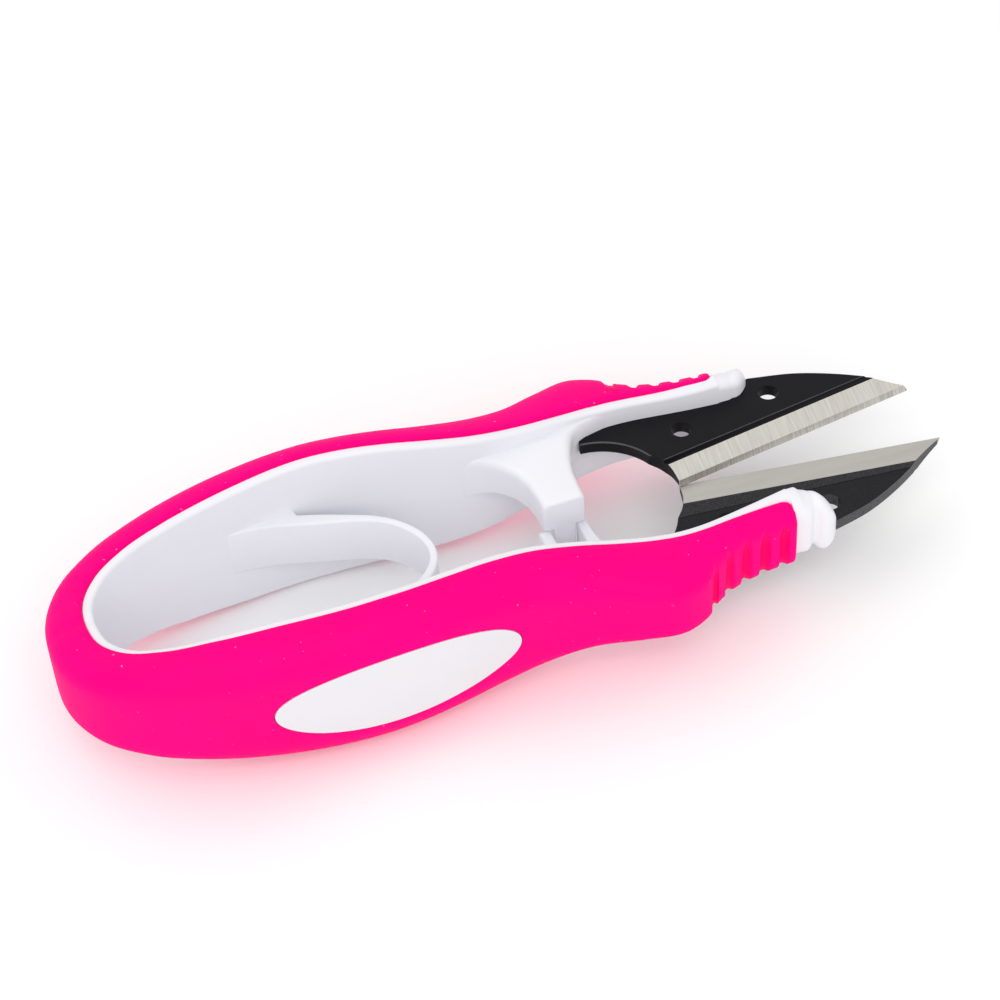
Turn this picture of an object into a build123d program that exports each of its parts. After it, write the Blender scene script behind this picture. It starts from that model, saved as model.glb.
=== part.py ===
"""Thread snips: a soft-grip bow handle that springs two overlapping steel blades apart.

The snips lie on their side. +X points from the bow to the blade tips, the far arm is on +Y
and the near arm on -Y, and +Z goes up through the thickness. The origin is under the middle
of the bounding box. The near arm is the far arm turned over about the long middle axis, so
its blade passes just under the far blade.
"""

import os
from math import cos, radians, sin

from build123d import *

os.makedirs("parts", exist_ok=True)

# ---- Handle, plan view: half widths measured from the centre line --------------------------
rear_x = -62.2              # back of the soft grip
tip_x = 62.2                # blade tips
bow_x = -24.0               # widest place of the bow
bow_half_width = 19.8       # soft grip there
bow_fullness = 2.3          # exponent of the bow's outline: 2 is an ellipse
rim_bow_half_width = 14.25  # white frame there
rim_rear_x = -56.9          # back of the white frame
waist_x = 0.0
waist_half_width = 17.8
rim_waist_half_width = 11.8
belly_x = 18.0              # finger rest
belly_half_width = 22.0
belly_hollow = 0.4          # the outline dips by this much between waist and belly
rim_belly_x = 21.0
rim_belly_half_width = 13.9
throat_x = 28.0             # hollow under the finger grooves
throat_half_width = 16.6
grip_front_x = 35.8
grip_front_half_width = 15.8
rim_front_half_width = 12.8
wall = 1.35                 # white frame, seen from above as the rim

# ---- Handle, side view ---------------------------------------------------------------------
rear_half_thickness = 6.1
bow_half_thickness = 11.0
throat_half_thickness = 5.3
nose_half_thickness = 5.8
grip_proud = 0.45           # soft grip stands above the rim by this much
side_share = 0.5            # share of the half thickness where the side is upright
mid_z = bow_half_thickness + grip_proud

# ---- Finger grooves ------------------------------------------------------------------------
groove_count = 5
groove_first_x = 22.3
groove_pitch = 2.9
groove_radius = 1.15
groove_depth = 1.05
groove_bow_radius = 9.0     # the grooves get shallower up and down on this radius

# ---- Oval inlay ----------------------------------------------------------------------------
oval_x = -21.0
oval_half_length = 16.9
oval_half_height = 6.1
oval_depth = 1.3

# ---- Spring leaf ---------------------------------------------------------------------------
leaf_half_height = 3.4
leaf_apex_x = -9.9
leaf_apex_thickness = 1.2
leaf_root_x = -36.2         # where it starts to leave the arm
leaf_notch_x = -25.2        # where it stands clear of the arm
leaf_notch_gap = 0.95
leaf_far_clearance = 0.05   # bonded on the near arm, rests on the far arm

# ---- Blades --------------------------------------------------------------------------------
blade_thickness = 2.2
blade_gap = 0.06            # between the two inner faces
heel = (25.4, -0.2)         # the cutting edges cross a little at the heel
tip = (tip_x, 5.4)
opening_center = (14.4, 1.3)
opening_radius = 9.4        # round opening behind the heel
spine_points = [(tip_x - 4.9, 7.7), (tip_x - 8.3, 9.9), (tip_x - 14.2, 12.5)]
spine_front = (41.5, 14.0)  # where the spine leaves the nose
tang_front = (36.6, 13.0)   # hidden from here back, inside the nose and the finger rest
tang_points = [(30.0, 12.8), (24.0, 14.4), (18.0, 15.8)]
tang_rear = (15.4, 14.0)
bevel_width = 2.9
bevel_heel_offset = 0.2     # the bevel's heel end leans forward by this much
edge_thickness = 0.6        # steel left at the cutting edge
land_width = 3.6            # flat inner face along the cutting edge
hollow_slope = 0.7
hollow_depth = 0.3
hole_radius = 1.43
blade_holes = [(29.0, 8.1), (43.0, 10.25)]
tang_hole = (19.3, 14.1)    # the plastic runs through this one and holds the blade
tang_hole_radius = 0.9
core_half_thickness = 3.3   # rigid plastic around the tang, inside the finger rest
core_rear = (13.4, 12.7)
core_points = [(17.6, 17.3), (24.0, 15.6), (30.0, 13.9)]
core_front_half_width = 13.3

# ---- Nose ----------------------------------------------------------------------------------
nose_inner = 10.9
nose_outer = 14.8
nose_half_thickness_body = 5.6
nose_front_x = 38.2
neck_length = 1.1
neck_inset = 0.5
flange_length = 2.1
flange_inner = 10.9
flange_outer = 15.1
flange_half_thickness = 4.9
nose_rounding = 1.2
flange_rounding = 1.6

# ---- Guide ---------------------------------------------------------------------------------
guide_back_x = 5.1          # end of the bracket, rear side
guide_front_x = 11.1        # end of the bracket, front side
guide_end_y = -1.5
guide_root_back_x = 0.4
guide_root_front_x = 16.2
guide_middle_y = 4.6        # the bracket's sides bend about half way out
guide_top = 5.0
guide_bottom = 1.0
guide_rounding = 0.8
leg_bottom = -4.0
leg_back_x = 7.0
leg_front_x = 9.3
channel_side_gap_back = 0.8
channel_side_gap_front = 0.6
ear_back_thickness = 1.7
ear_front_thickness = 1.4
ear_top = 0.6
ear_bottom = -4.5
ear_end_y = -1.0
ear_middle_y = -6.5
ear_flare = 3.0             # the front ear widens towards the arm by this much
channel_floor_y = -10.0

cut_overrun = 4.0           # cutting profiles run past the ends of what they cut

level = Plane.XY.offset(mid_z)
side_view = Plane((0, 0, mid_z), x_dir=(1, 0, 0), z_dir=(0, -1, 0))
middle_axis = Axis((0, 0, mid_z), (1, 0, 0))


def value_at(curve, x):
    """Second coordinate of a curve that runs towards +X, at a given x."""
    low, high = 0.0, 1.0
    for _ in range(40):
        middle = (low + high) / 2
        if (curve @ middle).X < x:
            low = middle
        else:
            high = middle
    return (curve @ low).Y


# ---- Guide curves of the far side ----------------------------------------------------------
rim = Spline(
    (rim_rear_x, 0),
    (rim_rear_x + 2.9, 0.49 * rim_bow_half_width),
    (rim_rear_x + 11.9, 0.78 * rim_bow_half_width),
    (bow_x - 11, 0.92 * rim_bow_half_width),
    (bow_x, rim_bow_half_width),
    (0.5 * (bow_x + waist_x), 0.6 * rim_bow_half_width + 0.4 * rim_waist_half_width),
    (waist_x, rim_waist_half_width),
    (0.5 * (waist_x + rim_belly_x), 0.5 * (rim_waist_half_width + rim_belly_half_width)),
    (rim_belly_x, rim_belly_half_width),
    (throat_x, 0.4 * rim_belly_half_width + 0.6 * rim_front_half_width),
    (grip_front_x, rim_front_half_width),
    tangents=[(0, 1), (1, 0)],
    tangent_scalars=[1, 1],
)
outer_arm = Spline(
    (bow_x, bow_half_width),
    (0.5 * (bow_x + waist_x), 0.55 * bow_half_width + 0.45 * waist_half_width),
    (waist_x, waist_half_width),
    (0.5 * (waist_x + belly_x), 0.5 * (waist_half_width + belly_half_width) - belly_hollow),
    (belly_x, belly_half_width),
    (0.5 * (belly_x + throat_x), 0.43 * belly_half_width + 0.57 * throat_half_width),
    (throat_x, throat_half_width),
    (grip_front_x, grip_front_half_width),
    tangents=[(1, 0), (1, 0)],
    tangent_scalars=[1, 1],
)
rise = bow_half_thickness - rear_half_thickness
fall = bow_half_thickness - throat_half_thickness
crown = Spline(
    (rear_x, rear_half_thickness),
    (0.68 * rear_x + 0.32 * bow_x, rear_half_thickness + 0.44 * rise),
    (0.37 * rear_x + 0.63 * bow_x, rear_half_thickness + 0.81 * rise),
    (bow_x, bow_half_thickness),
    (0.73 * bow_x + 0.27 * throat_x, bow_half_thickness - 0.14 * fall),
    (0.46 * bow_x + 0.54 * throat_x, bow_half_thickness - 0.53 * fall),
    (0.27 * bow_x + 0.73 * throat_x, bow_half_thickness - 0.84 * fall),
    (throat_x - 3, throat_half_thickness),
    (grip_front_x, nose_half_thickness),
)


def wall_point(share):
    """Point of the frame's inner face, straight in from the rim line."""
    along = rim % share
    return (rim @ share) + wall * Vector(along.Y, -along.X)


wall_steps = 24
inner_wall = Spline(
    [wall_point(step / wall_steps) for step in range(wall_steps + 1)],
    tangents=[(0, 1), (1, 0)],
    tangent_scalars=[1, 1],
)


def even_steps(start, stop, count):
    """Evenly spaced values from start to stop."""
    return [start + (stop - start) * index / (count - 1) for index in range(count)]


def rim_point(x):
    """Point of the rim line at x."""
    return Vector(x, value_at(rim, x))


def arm_point(x):
    """Point of the grip's outer line at x, in front of the bow."""
    return Vector(x, value_at(outer_arm, x))


def bow_point(angle):
    """Point of the grip's outer line round the bow; 0 degrees is its back."""
    back_share = cos(radians(angle)) ** (2 / bow_fullness)
    width_share = sin(radians(angle)) ** (2 / bow_fullness)
    return Vector(bow_x - (bow_x - rear_x) * back_share, bow_half_width * width_share)


def grip_section(inner, outer):
    """Upright section face of the soft grip, from inside the rim line to its outer side."""
    reach = outer - inner
    outward = reach.normalized()
    width = reach.length
    height = value_at(crown, inner.X) + grip_proud
    upright = side_share * height
    corner = height - upright
    plane = Plane((inner.X, inner.Y, mid_z), x_dir=outward, z_dir=outward.cross(Vector(0, 0, 1)))
    with BuildSketch(plane) as section:
        with BuildLine():
            Polyline((0, -height), (-wall / 2, -height), (-wall / 2, height), (0, height))
            EllipticalCenterArc((0, upright), width, corner, start_angle=0, arc_size=90)
            Line((width, upright), (width, -upright))
            EllipticalCenterArc((0, -upright), width, corner, start_angle=270, arc_size=90)
        make_face()
    return section.sketch.faces()[0]


# ---- Far blade: stamped plan, ground bevel on top, hollow inner face below -----------------
edge_direction = (Vector(*tip) - Vector(*heel)).normalized()
edge_inward = Vector(-edge_direction.Y, edge_direction.X)
edge_plane = Plane(
    Vector(heel[0], heel[1], mid_z + blade_gap / 2) - cut_overrun * edge_direction,
    x_dir=edge_inward,
    z_dir=edge_direction,
)
edge_run = (Vector(*tip) - Vector(*heel)).length + 2 * cut_overrun
bevel_heel = Vector(*heel) + bevel_width * edge_inward + bevel_heel_offset * edge_direction

with BuildSketch(level.offset(blade_gap / 2)) as blade_plan:
    with BuildLine():
        Line(heel, tip)
        Spline(tip, *spine_points, spine_front)
        Line(spine_front, tang_front)
        Spline(tang_front, *tang_points, tang_rear)
        rear_arc = CenterArc(opening_center, opening_radius, start_angle=86, arc_size=-70)
        Line(tang_rear, rear_arc @ 0)
        Polyline(rear_arc @ 1, (bevel_heel.X, bevel_heel.Y), heel)
    make_face()

with BuildPart() as far_blade:
    extrude(to_extrude=blade_plan.sketch, amount=blade_thickness)
    with BuildSketch(level):
        with Locations(*blade_holes):
            Circle(hole_radius)
        with Locations(tang_hole):
            Circle(tang_hole_radius)
    extrude(amount=2 * blade_thickness, both=True, mode=Mode.SUBTRACT)
    with BuildSketch(edge_plane):
        with BuildLine():
            Polyline(
                (0, edge_thickness),
                (bevel_width, blade_thickness),
                (bevel_width, 2 * blade_thickness),
                (-cut_overrun, 2 * blade_thickness),
                (-cut_overrun, edge_thickness),
                close=True,
            )
        make_face()
        with BuildLine():
            Polyline(
                (land_width, 0),
                (land_width + hollow_slope, hollow_depth),
                (2 * bow_half_width, hollow_depth),
                (2 * bow_half_width, -cut_overrun),
                (land_width, -cut_overrun),
                close=True,
            )
        make_face()
    extrude(amount=edge_run, mode=Mode.SUBTRACT)
far_blade.part.label = "far_blade"

# ---- Far frame: upright wall of even thickness, its height follows the crown ---------------
with BuildSketch(level) as rim_plan:
    with BuildLine():
        add([rim, inner_wall])
        Line(rim @ 0, inner_wall @ 0)
        Line(rim @ 1, inner_wall @ 1)
    make_face()

with BuildSketch(side_view) as crown_profile:
    with BuildLine():
        add(crown)
        Polyline(crown @ 1, (grip_front_x, 0), (rear_x, 0), crown @ 0)
    make_face()
    mirror(about=Plane.XZ)

with BuildSketch(level) as core_plan:
    with BuildLine():
        Spline(core_rear, *core_points, (grip_front_x, core_front_half_width))
        Line(
            (grip_front_x, core_front_half_width),
            (grip_front_x, rim_front_half_width - wall / 2),
        )
        Spline(
            (grip_front_x, rim_front_half_width - wall / 2),
            (rim_belly_x, rim_belly_half_width - wall / 2),
            core_rear,
        )
    make_face()

with BuildPart() as far_frame:
    extrude(to_extrude=rim_plan.sketch, amount=2 * bow_half_thickness, both=True)
    extrude(
        to_extrude=crown_profile.sketch,
        amount=2 * bow_half_width,
        both=True,
        mode=Mode.INTERSECT,
    )
    extrude(to_extrude=core_plan.sketch, amount=core_half_thickness, both=True)
    add(far_blade.part, mode=Mode.SUBTRACT)
far_frame.part.label = "far_frame"

# ---- Far oval inlay and soft grip ----------------------------------------------------------
bow_section_angles = [0, 15, 30, 45, 60, 75]
section_pairs = [
    (rim_point(bow_x - (bow_x - rim_rear_x) * cos(radians(angle))), bow_point(angle))
    for angle in bow_section_angles
]
section_pairs += [
    (rim_point(x), arm_point(x))
    for start, stop, count in [(bow_x, belly_x - 5, 6), (belly_x, grip_front_x, 7)]
    for x in even_steps(start, stop, count)
]

with BuildSketch(level) as inside_plan:
    with BuildLine():
        add(rim)
        Polyline(
            (grip_front_x, rim_front_half_width),
            (grip_front_x + cut_overrun, rim_front_half_width),
            (grip_front_x + cut_overrun, -cut_overrun),
            (rim_rear_x, -cut_overrun),
            (rim_rear_x, 0),
        )
    make_face()

with BuildPart() as grip_blank:
    loft(sections=[grip_section(inner, outer) for inner, outer in section_pairs])
    extrude(
        to_extrude=inside_plan.sketch,
        amount=2 * bow_half_thickness,
        both=True,
        mode=Mode.SUBTRACT,
    )

with BuildPart() as far_oval_inlay:
    with BuildSketch(side_view):
        with Locations((oval_x, 0)):
            Ellipse(oval_half_length, oval_half_height)
    extrude(amount=-2 * bow_half_width)
    add(grip_blank.part, mode=Mode.INTERSECT)
    add(Pos(0, -oval_depth, 0) * grip_blank.part, mode=Mode.SUBTRACT)
far_oval_inlay.part.label = "far_oval_inlay"

with BuildPart() as far_grip:
    add(grip_blank.part)
    for index in range(groove_count):
        x = groove_first_x + index * groove_pitch
        along = (arm_point(x + 0.1) - arm_point(x - 0.1)).normalized()
        outward = Vector(-along.Y, along.X)
        center = arm_point(x) + (groove_bow_radius + groove_radius - groove_depth) * outward
        center += Vector(0, 0, mid_z)
        with Locations(Plane(center, x_dir=outward, z_dir=along)):
            Torus(groove_bow_radius, groove_radius, mode=Mode.SUBTRACT)
    add(far_oval_inlay.part, mode=Mode.SUBTRACT)
    extrude(
        to_extrude=core_plan.sketch,
        amount=core_half_thickness,
        both=True,
        mode=Mode.SUBTRACT,
    )
far_grip.part.label = "far_grip"

# ---- Far collar: stepped nose with a neck and a flange -------------------------------------
def nose_block(start_x, length, inner, outer, half_thickness, rounding):
    """Rounded block of the nose, from start_x forwards."""
    plane = Plane((start_x, (inner + outer) / 2, mid_z), x_dir=(0, 1, 0), z_dir=(1, 0, 0))
    with BuildSketch(plane) as block:
        RectangleRounded(outer - inner, 2 * half_thickness, rounding)
    return extrude(to_extrude=block.sketch, amount=length)


neck_front_x = nose_front_x + neck_length
nose_body = nose_block(
    grip_front_x,
    nose_front_x - grip_front_x,
    nose_inner,
    nose_outer,
    nose_half_thickness_body,
    nose_rounding,
)
nose_neck = nose_block(
    nose_front_x,
    neck_length,
    nose_inner + neck_inset,
    nose_outer - neck_inset,
    nose_half_thickness_body - 2 * neck_inset,
    nose_rounding,
)
nose_flange = nose_block(
    neck_front_x,
    flange_length,
    flange_inner,
    flange_outer,
    flange_half_thickness,
    flange_rounding,
)
with BuildPart() as far_collar:
    add([nose_body, nose_neck, nose_flange])
    add(far_blade.part, mode=Mode.SUBTRACT)
far_collar.part.label = "far_collar"

# ---- Guide tongue on the far arm: bracket with a leg below it ------------------------------
guide_root_back = (guide_root_back_x, value_at(rim, guide_root_back_x) - wall / 2)
guide_root_front = (guide_root_front_x, value_at(rim, guide_root_front_x) - wall / 2)
leg_reach = value_at(rim, leg_back_x) - wall / 2 - guide_end_y
with BuildPart() as guide_tongue:
    with BuildSketch(level.offset(guide_bottom)):
        with BuildLine():
            Spline(
                guide_root_back,
                (guide_back_x - 0.9, guide_middle_y),
                (guide_back_x, guide_end_y),
                tangents=[(0.8, -0.6), (0, -1)],
                tangent_scalars=[1, 1],
            )
            Line((guide_back_x, guide_end_y), (guide_front_x, guide_end_y))
            Spline(
                (guide_front_x, guide_end_y),
                (guide_front_x + 1.6, guide_middle_y),
                guide_root_front,
                tangents=[(0, 1), (0.8, 0.6)],
                tangent_scalars=[1, 1],
            )
            Line(guide_root_front, guide_root_back)
        make_face()
    extrude(amount=guide_top - guide_bottom)
    fillet(guide_tongue.faces().sort_by(Axis.Y)[0].edges().sort_by(Axis.Z)[-1], guide_rounding)
    with BuildSketch(level.offset(leg_bottom)):
        with Locations((leg_back_x, guide_end_y)):
            Rectangle(leg_front_x - leg_back_x, leg_reach, align=(Align.MIN, Align.MIN))
    extrude(amount=guide_bottom - leg_bottom)
    add(far_frame.part, mode=Mode.SUBTRACT)
    add(far_blade.part, mode=Mode.SUBTRACT)
guide_tongue.part.label = "guide_tongue"

# ---- Near side: the far side turned over ---------------------------------------------------
with BuildPart() as near_frame:
    add(far_frame.part.rotate(middle_axis, 180))
near_frame.part.label = "near_frame"

with BuildPart() as near_grip:
    add(far_grip.part.rotate(middle_axis, 180))
near_grip.part.label = "near_grip"

with BuildPart() as near_oval_inlay:
    add(far_oval_inlay.part.rotate(middle_axis, 180))
near_oval_inlay.part.label = "near_oval_inlay"

with BuildPart() as near_collar:
    add(far_collar.part.rotate(middle_axis, 180))
near_collar.part.label = "near_collar"

with BuildPart() as near_blade:
    add(far_blade.part.rotate(middle_axis, 180))
near_blade.part.label = "near_blade"

# ---- Guide channel on the near arm: two ears that the leg runs between ---------------------
ear_back_face = leg_back_x - channel_side_gap_back
ear_front_face = leg_front_x + channel_side_gap_front
ear_rear_x = ear_back_face - ear_back_thickness
ear_nose_x = ear_front_face + ear_front_thickness
ear_rear_root = (ear_rear_x, wall / 2 - value_at(rim, ear_rear_x))
ear_nose_root = (ear_nose_x + ear_flare, wall / 2 - value_at(rim, ear_nose_x + ear_flare))
with BuildPart() as guide_channel:
    with BuildSketch(level.offset(ear_bottom)):
        with BuildLine():
            Polyline(
                ear_rear_root,
                (ear_rear_x, ear_end_y),
                (ear_back_face, ear_end_y),
                (ear_back_face, channel_floor_y),
                (ear_front_face, channel_floor_y),
                (ear_front_face, ear_end_y),
                (ear_nose_x, ear_end_y),
            )
            Spline(
                (ear_nose_x, ear_end_y),
                (ear_nose_x + 0.1 * ear_flare, ear_middle_y),
                ear_nose_root,
                tangents=[(0, -1), (0.8, -0.6)],
                tangent_scalars=[1, 1],
            )
            Line(ear_nose_root, ear_rear_root)
        make_face()
    extrude(amount=ear_top - ear_bottom)
    add(near_frame.part, mode=Mode.SUBTRACT)
    add(near_blade.part, mode=Mode.SUBTRACT)
guide_channel.part.label = "guide_channel"

# ---- Spring leaf: bow of even height between the arms --------------------------------------
leaf_wall_y = value_at(rim, leaf_notch_x) - wall
leaf_stand_y = leaf_wall_y - leaf_notch_gap
leaf_root = (leaf_root_x, value_at(rim, leaf_root_x + 0.6) - 0.6 * wall)
with BuildPart() as spring_leaf:
    with BuildSketch(level):
        with BuildLine():
            Polyline(
                leaf_root,
                (leaf_notch_x, leaf_wall_y + 0.5 * wall),
                (leaf_notch_x, leaf_stand_y),
            )
            Spline(
                (leaf_notch_x, leaf_stand_y),
                (leaf_apex_x - 7.4, 0.73 * leaf_stand_y),
                (leaf_apex_x - 2.0, 0.38 * leaf_stand_y),
                (leaf_apex_x, 0),
                tangents=[(0.92, -0.38), (0, -1)],
                tangent_scalars=[1, 1],
            )
            Line((leaf_apex_x, 0), (leaf_apex_x - leaf_apex_thickness, 0))
            Spline(
                (leaf_apex_x - leaf_apex_thickness, 0),
                (leaf_apex_x - 3.1, 0.38 * leaf_stand_y),
                (leaf_apex_x - 7.9, 0.63 * leaf_stand_y),
                (leaf_notch_x + 2.4, 0.78 * leaf_stand_y),
                (leaf_notch_x - 3.7, 0.92 * leaf_stand_y),
                leaf_root,
                tangents=[(0, 1), (-1, 0.1)],
                tangent_scalars=[1, 1],
            )
        make_face()
        mirror(about=Plane.XZ)
    extrude(amount=leaf_half_height, both=True)
    add(near_frame.part, mode=Mode.SUBTRACT)
    add(Pos(0, -leaf_far_clearance, 0) * far_frame.part, mode=Mode.SUBTRACT)
spring_leaf.part.label = "spring_leaf"

for piece in [
    far_frame,
    near_frame,
    far_grip,
    near_grip,
    far_oval_inlay,
    near_oval_inlay,
    spring_leaf,
    guide_tongue,
    guide_channel,
    far_collar,
    near_collar,
    far_blade,
    near_blade,
]:
    export_step(piece.part, f"parts/{piece.part.label}.step")
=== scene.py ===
import math

import bmesh
import bpy
from mathutils import Matrix, Vector


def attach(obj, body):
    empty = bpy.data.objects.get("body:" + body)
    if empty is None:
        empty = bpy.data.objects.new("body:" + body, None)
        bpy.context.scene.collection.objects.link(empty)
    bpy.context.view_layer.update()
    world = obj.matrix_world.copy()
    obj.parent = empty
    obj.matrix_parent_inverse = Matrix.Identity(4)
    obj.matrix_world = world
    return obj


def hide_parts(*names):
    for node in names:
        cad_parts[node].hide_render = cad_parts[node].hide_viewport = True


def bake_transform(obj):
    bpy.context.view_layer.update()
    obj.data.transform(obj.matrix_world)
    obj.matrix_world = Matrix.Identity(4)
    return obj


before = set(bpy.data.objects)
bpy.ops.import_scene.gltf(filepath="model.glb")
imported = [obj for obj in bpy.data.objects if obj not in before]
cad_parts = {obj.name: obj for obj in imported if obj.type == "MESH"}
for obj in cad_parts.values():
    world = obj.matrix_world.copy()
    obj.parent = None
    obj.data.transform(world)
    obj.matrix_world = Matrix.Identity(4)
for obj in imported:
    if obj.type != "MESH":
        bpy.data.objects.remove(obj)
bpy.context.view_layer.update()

# ---- Camera, lights and floor --------------------------------------------------------------
# The snips lie on a plain white table in a bright studio. The camera looks down at them from
# the near side, a little from the bow's end, and is rolled so that the blades point up.
MM = 0.001
MIDDLE = 11.45              # height of the snips' middle plane, in millimetres
AIM_X, AIM_Y = 1.89, 7.08   # where the camera looks in that plane
CAMERA_DISTANCE = 367.5
CAMERA_ANGLES = (-17.10, 45.05, -4.14)   # azimuth, elevation and roll
WORLD_LIGHT = 0.77
TABLE_HALF_SIZE = 4.0       # in metres

camera = bpy.data.objects.new("camera", bpy.data.cameras.new("camera"))
bpy.context.collection.objects.link(camera)
bpy.context.scene.camera = camera
camera.data.lens = 97.2
camera.data.sensor_width = 36.0
camera.data.clip_start = 0.01
camera.data.clip_end = 20.0

azimuth, elevation, roll = (math.radians(angle) for angle in CAMERA_ANGLES)
target = Vector((AIM_X, AIM_Y, MIDDLE)) * MM
back = Vector((
    math.sin(azimuth) * math.cos(elevation),
    -math.cos(azimuth) * math.cos(elevation),
    math.sin(elevation),
))
level_right = (-back).cross(Vector((0, 0, 1))).normalized()
level_up = level_right.cross(-back)
right = level_right * math.cos(roll) + level_up * math.sin(roll)
up = level_up * math.cos(roll) - level_right * math.sin(roll)
camera.matrix_world = (
    Matrix.Translation(target + back * CAMERA_DISTANCE * MM)
    @ Matrix((right, up, back)).transposed().to_4x4()
)

bpy.context.scene.view_settings.view_transform = "Standard"


class Wire:
    """A node's output that can be added, multiplied and compared like a number."""

    def __init__(self, board, socket):
        self.board = board
        self.socket = socket

    def sum(self, operation, *values):
        return self.board.add("ShaderNodeMath", {"operation": operation}, dict(enumerate(values)))

    def __add__(self, other):
        return self.sum("ADD", self, other)

    def __mul__(self, other):
        return self.sum("MULTIPLY", self, other)

    __rmul__ = __mul__

    def __sub__(self, other):
        return self.sum("SUBTRACT", self, other)

    def __rsub__(self, other):
        return self.sum("SUBTRACT", other, self)

    def __gt__(self, limit):
        return self.sum("GREATER_THAN", self, limit)


class Finish:
    """A material under construction: one Principled shader and the nodes that feed it."""

    def __init__(self, name, **constants):
        self.material = bpy.data.materials.new(name)
        self.material.use_nodes = True
        self.tree = self.material.node_tree
        self.shader = self.tree.nodes["Principled BSDF"]
        for socket, value in constants.items():
            self.shader.inputs[socket.replace("_", " ")].default_value = value

    def add(self, kind, settings, inputs, output=0):
        """Any node, with its settings and what goes into its sockets."""
        node = self.tree.nodes.new(kind)
        for key, value in settings.items():
            setattr(node, key, value)
        for socket, value in inputs.items():
            self.feed(node.inputs[socket], value)
        return Wire(self, node.outputs[output])

    def feed(self, socket, value):
        if isinstance(value, Wire):
            self.tree.links.new(value.socket, socket)
        else:
            socket.default_value = value

    def set(self, socket, value):
        self.feed(self.shader.inputs[socket], value)

    def place(self, scale=(1, 1, 1), turn=(0, 0, 0)):
        """Object coordinates, turned and stretched; 1 / MM makes a unit a millimetre."""
        here = self.add("ShaderNodeTexCoord", {}, {}, "Object")
        return self.add(
            "ShaderNodeMapping",
            {"vector_type": "POINT"},
            {"Vector": here, "Rotation": turn, "Scale": [share / MM for share in scale]},
        )

    def noise(self, vector, scale, detail=2.0, roughness=0.5):
        return self.add(
            "ShaderNodeTexNoise",
            {"noise_dimensions": "3D"},
            {"Vector": vector, "Scale": scale, "Detail": detail, "Roughness": roughness},
        )

    def spread(self, value, low, high, to_low=0.0, to_high=1.0):
        """Maps a value from one range to another and holds it at the ends."""
        return self.add(
            "ShaderNodeMapRange",
            {"clamp": True},
            {"Value": value, 1: low, 2: high, 3: to_low, 4: to_high},
        )

    def mix(self, share, first, second):
        """Colour between two colours."""
        return self.add(
            "ShaderNodeMix",
            {"data_type": "RGBA"},
            {0: share, 6: first, 7: second},
            2,
        )

    def attribute(self, name):
        """A number that the mesh carries."""
        settings = {"attribute_type": "GEOMETRY", "attribute_name": name}
        return self.add("ShaderNodeAttribute", settings, {}, "Fac")

    def bump(self, height, strength, distance):
        normal = self.add(
            "ShaderNodeBump",
            {},
            {"Height": height, "Strength": strength, "Distance": distance * MM},
        )
        self.set("Normal", normal)


def soft_light(name, place, aim, size, power):
    """Square studio light that faces a point."""
    lamp = bpy.data.lights.new(name, "AREA")
    lamp.size = size
    lamp.energy = power
    holder = bpy.data.objects.new(name, lamp)
    bpy.context.collection.objects.link(holder)
    holder.location = place
    holder.rotation_euler = (Vector(aim) - Vector(place)).to_track_quat("-Z", "Y").to_euler()


soft_light("key_light", (-0.35, 0.45, 0.75), (0, 0, 0), 0.9, 1.45)
soft_light("fill_light", (-0.14, -0.48, 0.50), (0, 0, 0.01), 0.6, 1.7)

world = bpy.data.worlds.new("studio")
world.use_nodes = True
background = world.node_tree.nodes["Background"]
background.inputs["Color"].default_value = (1.0, 1.0, 1.0, 1.0)
background.inputs["Strength"].default_value = WORLD_LIGHT
bpy.context.scene.world = world

table_top = Finish(
    "table_white",
    Roughness=0.6,
    Specular_IOR_Level=0.2,
    Emission_Color=(1.0, 1.0, 1.0, 1.0),
    Emission_Strength=0.05,
)
table_grain = table_top.noise(table_top.place(), 0.02)
table_top.set(
    "Base Color",
    table_top.mix(table_grain, (0.95, 0.95, 0.95, 1.0), (0.97, 0.97, 0.97, 1.0)),
)
floor_mesh = bpy.data.meshes.new("table")
floor_form = bmesh.new()
bmesh.ops.create_grid(floor_form, x_segments=2, y_segments=2, size=TABLE_HALF_SIZE)
floor_form.to_mesh(floor_mesh)
floor_form.free()
floor_mesh.materials.append(table_top.material)
floor = bpy.data.objects.new("table", floor_mesh)
bpy.context.collection.objects.link(floor)

# ---- Soft grip -----------------------------------------------------------------------------
# One hot pink soft-touch rubber moulding, cast round the outside of the frame. It stands a
# little above the white rim and has a finger rest with five scooped grooves on each arm.
# On the real snips the bow bends as they are squeezed; this skin is one fixed piece.
RIM_STATIONS = [   # x and y of the rim's outer edge in plan, from the bow's back to the front
    (-56.9, 0.0), (-56.2, 3.95), (-53.8, 7.2), (-49.2, 9.85), (-42.9, 11.65), (-34.2, 13.2),
    (-24.0, 14.25), (-18.0, 14.02), (-12.0, 13.27), (-6.0, 12.32), (0.0, 11.8), (6.0, 12.19),
    (12.0, 13.09), (17.3, 13.76), (20.4, 13.9), (23.5, 13.74), (26.6, 13.39), (29.7, 13.07),
    (32.7, 12.87), (35.8, 12.8),
]
GRIP_STATIONS = [   # and of the rubber's outer side
    (-62.2, 0.0), (-61.5, 4.9), (-59.1, 9.2), (-54.1, 13.1), (-46.3, 16.4), (-36.0, 18.85),
    (-24.0, 19.8), (-18.0, 19.55), (-12.0, 18.9), (-6.0, 18.12), (0.0, 17.8), (6.0, 18.5),
    (12.0, 20.7), (17.6, 22.0), (20.7, 20.9), (23.5, 18.6), (26.6, 17.0), (29.7, 16.25),
    (32.7, 15.9), (35.8, 15.8),
]
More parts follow.
